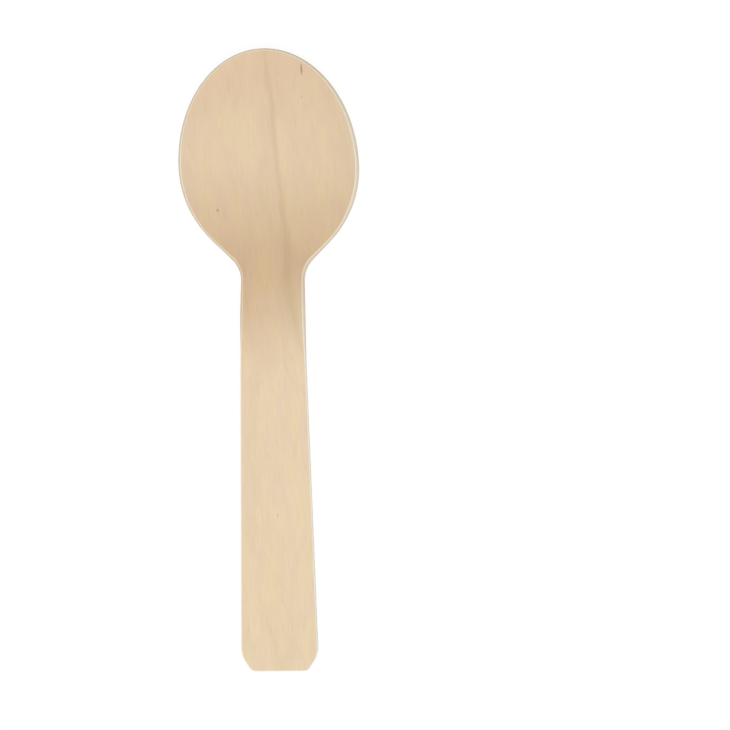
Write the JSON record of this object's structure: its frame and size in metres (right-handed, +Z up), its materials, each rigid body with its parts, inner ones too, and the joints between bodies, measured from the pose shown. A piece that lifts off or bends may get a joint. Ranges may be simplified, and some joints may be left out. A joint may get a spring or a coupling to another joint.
{
  "type": "disposable wooden spoon",
  "caption": "Small single-use spoon pressed from one leaf of birch veneer, with an oval bowl, a troughed neck and a flat flared handle.",
  "frame": {"origin": "below the middle of the spoon's length and width, on the table that it rests on", "axes": "+Y from the tail to the bowl's tip, +Z up out of the bowl's hollow, +X to the right seen from above"},
  "size_m": [0.0292, 0.1002, 0.0057],
  "materials": {
    "birch_veneer": "bare rotary-cut birch, hot pressed smooth, matt"
  },
  "bodies": {
    "root": {"spoon": "birch_veneer"}
  },
  "joints": []
}
